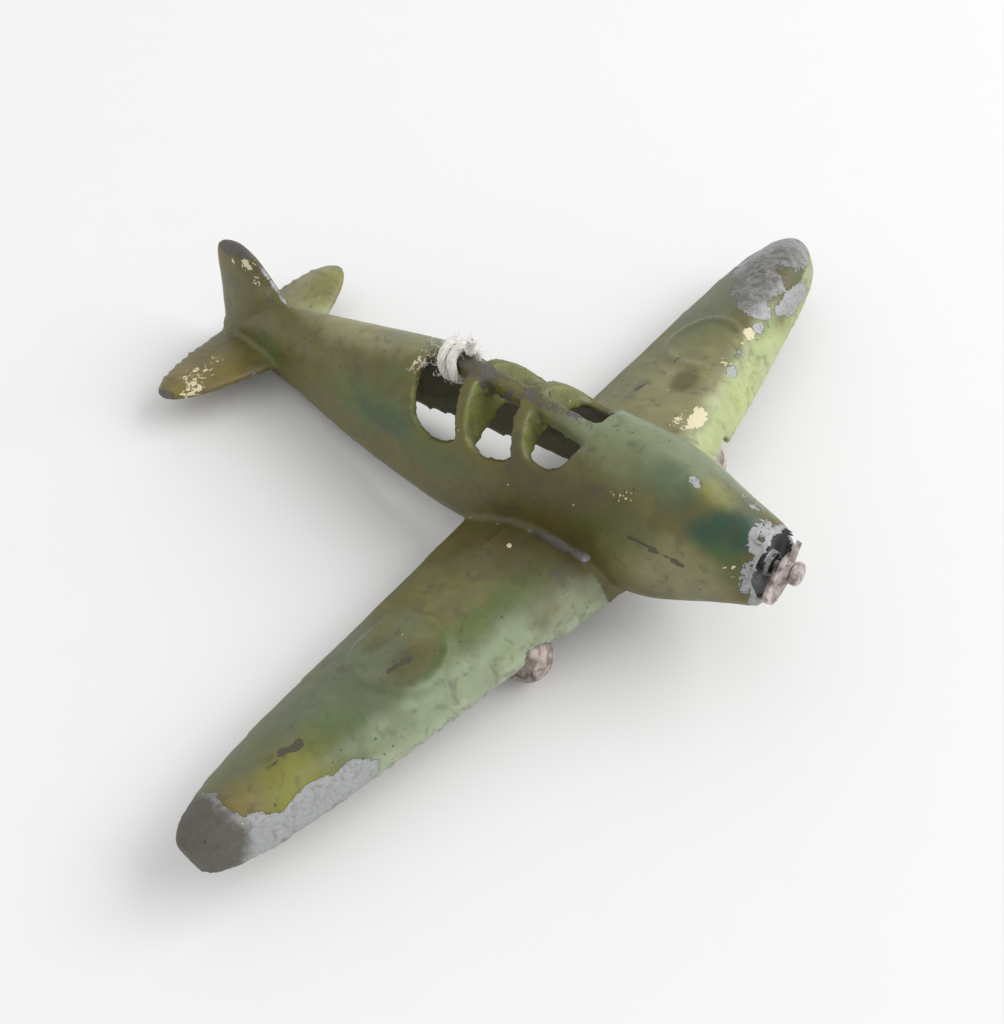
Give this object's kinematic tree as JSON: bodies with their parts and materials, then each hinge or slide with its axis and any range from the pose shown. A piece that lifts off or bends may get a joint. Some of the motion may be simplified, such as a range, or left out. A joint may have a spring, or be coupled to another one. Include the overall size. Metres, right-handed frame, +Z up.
{
  "type": "toy aeroplane",
  "caption": "Cast-metal toy monoplane with an open cage canopy, raised wing rings, broken tin propeller on a pin and wheels on a wire axle",
  "frame": {"origin": "centre of the bounding box at the surface the toy stands on, tail down", "axes": "+X forward to the nose, +Y to port, +Z up"},
  "size_m": [0.0881, 0.1198, 0.0246],
  "materials": {
    "worn_camouflage": "glossy olive and green enamel worn to grey metal",
    "rusty_tin": "stamped steel with light rust",
    "steel_wire": "drawn wire, tarnished",
    "bare_wheel": "bare casting with rusty tread",
    "cotton": "soft white cotton string"
  },
  "bodies": {
    "airframe": {"airframe": "worn_camouflage", "propeller_pin": "rusty_tin", "axle": "steel_wire", "string_wrap": "cotton"},
    "propeller": {"propeller": "rusty_tin"},
    "wheel_starboard": {"wheel_starboard": "bare_wheel"},
    "wheel_port": {"wheel_port": "bare_wheel"}
  },
  "joints": [
    {"name": "propeller_spin", "type": "hinge", "parent": "airframe", "child": "propeller", "pos_m": [0.04182, 0, 0.01729], "axis": [0.9841, 0, 0.1775], "continuous": true},
    {"name": "wheel_starboard_spin", "type": "hinge", "parent": "airframe", "child": "wheel_starboard", "pos_m": [0.02138, -0.0185, 0.0041], "axis": [0, 1, 0], "continuous": true},
    {"name": "wheel_port_spin", "type": "hinge", "parent": "airframe", "child": "wheel_port", "pos_m": [0.02138, 0.0185, 0.0041], "axis": [0, 1, 0], "continuous": true}
  ]
}
